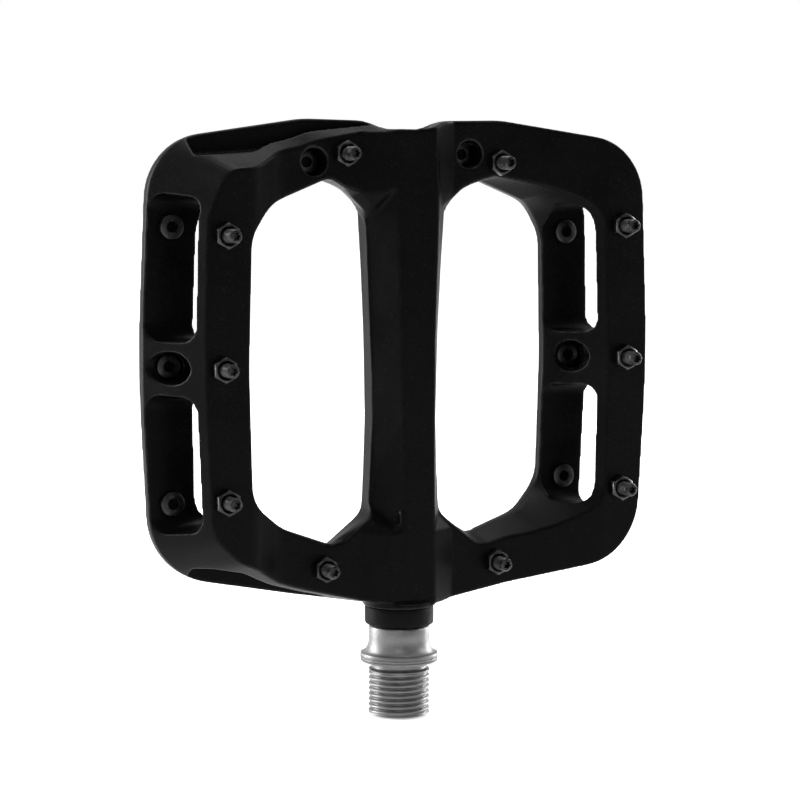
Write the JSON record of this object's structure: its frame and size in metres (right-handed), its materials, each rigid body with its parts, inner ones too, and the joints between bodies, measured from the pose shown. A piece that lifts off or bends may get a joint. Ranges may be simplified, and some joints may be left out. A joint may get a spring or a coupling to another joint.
{
  "type": "flat pedal",
  "caption": "Bicycle flat pedal: open two-window platform with hollow side bars, hex-based traction pins and a faceted bearing spine, turning on a threaded steel spindle.",
  "frame": {"origin": "centre of the spindle shoulder that meets the crank arm, on the spindle axis", "axes": "+Z along the spindle away from the crank, -Z into the crank thread, +X across the platform's width, -Y out of its front face"},
  "size_m": [0.1216, 0.0288, 0.1382],
  "materials": {
    "body_black": "satin black coating on shot-peened cast and milled aluminium",
    "cap_black": "satin black anodised",
    "pin_steel": "dark grey hardened steel, satin",
    "spindle_steel": "bright turned steel",
    "bearing_steel": "ground steel",
    "seal_rubber": "matte",
    "bushing_polymer": "matte"
  },
  "bodies": {
    "spindle": {"spindle": "spindle_steel", "inner_bearing_inner_race": "bearing_steel", "outer_bearing_inner_race": "bearing_steel", "thrust_washer": "bearing_steel", "lock_nut": "bearing_steel"},
    "platform": {"pedal_body": "body_black", "front_bar_pin_1": "pin_steel", "front_bar_pin_2": "pin_steel", "front_bar_pin_3": "pin_steel", "front_bar_pin_4": "pin_steel", "front_bar_pin_5": "pin_steel", "front_bar_pin_6": "pin_steel", "front_bar_nut_1": "pin_steel", "front_bar_nut_2": "pin_steel", "front_bar_nut_3": "pin_steel", "front_bar_nut_4": "pin_steel", "front_bar_nut_5": "pin_steel", "front_bar_nut_6": "pin_steel", "back_bar_pin_1": "pin_steel", "back_bar_pin_2": "pin_steel", "back_bar_pin_3": "pin_steel", "back_bar_pin_4": "pin_steel", "back_bar_pin_5": "pin_steel", "back_bar_pin_6": "pin_steel", "back_bar_nut_1": "pin_steel", "back_bar_nut_2": "pin_steel", "back_bar_nut_3": "pin_steel", "back_bar_nut_4": "pin_steel", "back_bar_nut_5": "pin_steel", "back_bar_nut_6": "pin_steel", "front_top_pin_1": "pin_steel", "front_top_pin_2": "pin_steel", "front_top_nut_1": "pin_steel", "front_top_nut_2": "pin_steel", "front_bottom_pin_1": "pin_steel", "front_bottom_pin_2": "pin_steel", "front_bottom_nut_1": "pin_steel", "front_bottom_nut_2": "pin_steel", "back_top_pin_1": "pin_steel", "back_top_pin_2": "pin_steel", "back_top_nut_1": "pin_steel", "back_top_nut_2": "pin_steel", "back_bottom_pin_1": "pin_steel", "back_bottom_pin_2": "pin_steel", "back_bottom_nut_1": "pin_steel", "back_bottom_nut_2": "pin_steel", "dust_seal": "seal_rubber", "inboard_bushing": "bushing_polymer", "needle_cup": "bearing_steel", "inner_bearing_outer_race": "bearing_steel", "outer_bearing_outer_race": "bearing_steel", "inner_bearing_shield": "bearing_steel", "outer_bearing_shield": "bearing_steel", "bearing_retaining_ring": "bearing_steel", "end_cap": "cap_black", "end_cap_o_ring": "seal_rubber"},
    "needles": {"needle_set": "bearing_steel"},
    "inner_balls": {"inner_bearing_ball_set": "bearing_steel"},
    "outer_balls": {"outer_bearing_ball_set": "bearing_steel"}
  },
  "joints": [
    {"name": "pedal_spin", "type": "hinge", "parent": "spindle", "child": "platform", "pos_m": [0, 0, 0.06], "axis": [0, 0, 1], "continuous": true},
    {"name": "needle_roll", "type": "hinge", "parent": "spindle", "child": "needles", "pos_m": [0, 0, 0.06], "axis": [0, 0, 1], "continuous": true},
    {"name": "inner_ball_roll", "type": "hinge", "parent": "spindle", "child": "inner_balls", "pos_m": [0, 0, 0.06], "axis": [0, 0, 1], "continuous": true},
    {"name": "outer_ball_roll", "type": "hinge", "parent": "spindle", "child": "outer_balls", "pos_m": [0, 0, 0.06], "axis": [0, 0, 1], "continuous": true}
  ],
  "couplings": [
    {"joint": "needle_roll", "follows": "pedal_spin", "ratio": 0.5625},
    {"joint": "inner_ball_roll", "follows": "pedal_spin", "ratio": 0.5909},
    {"joint": "outer_ball_roll", "follows": "pedal_spin", "ratio": 0.5909}
  ]
}
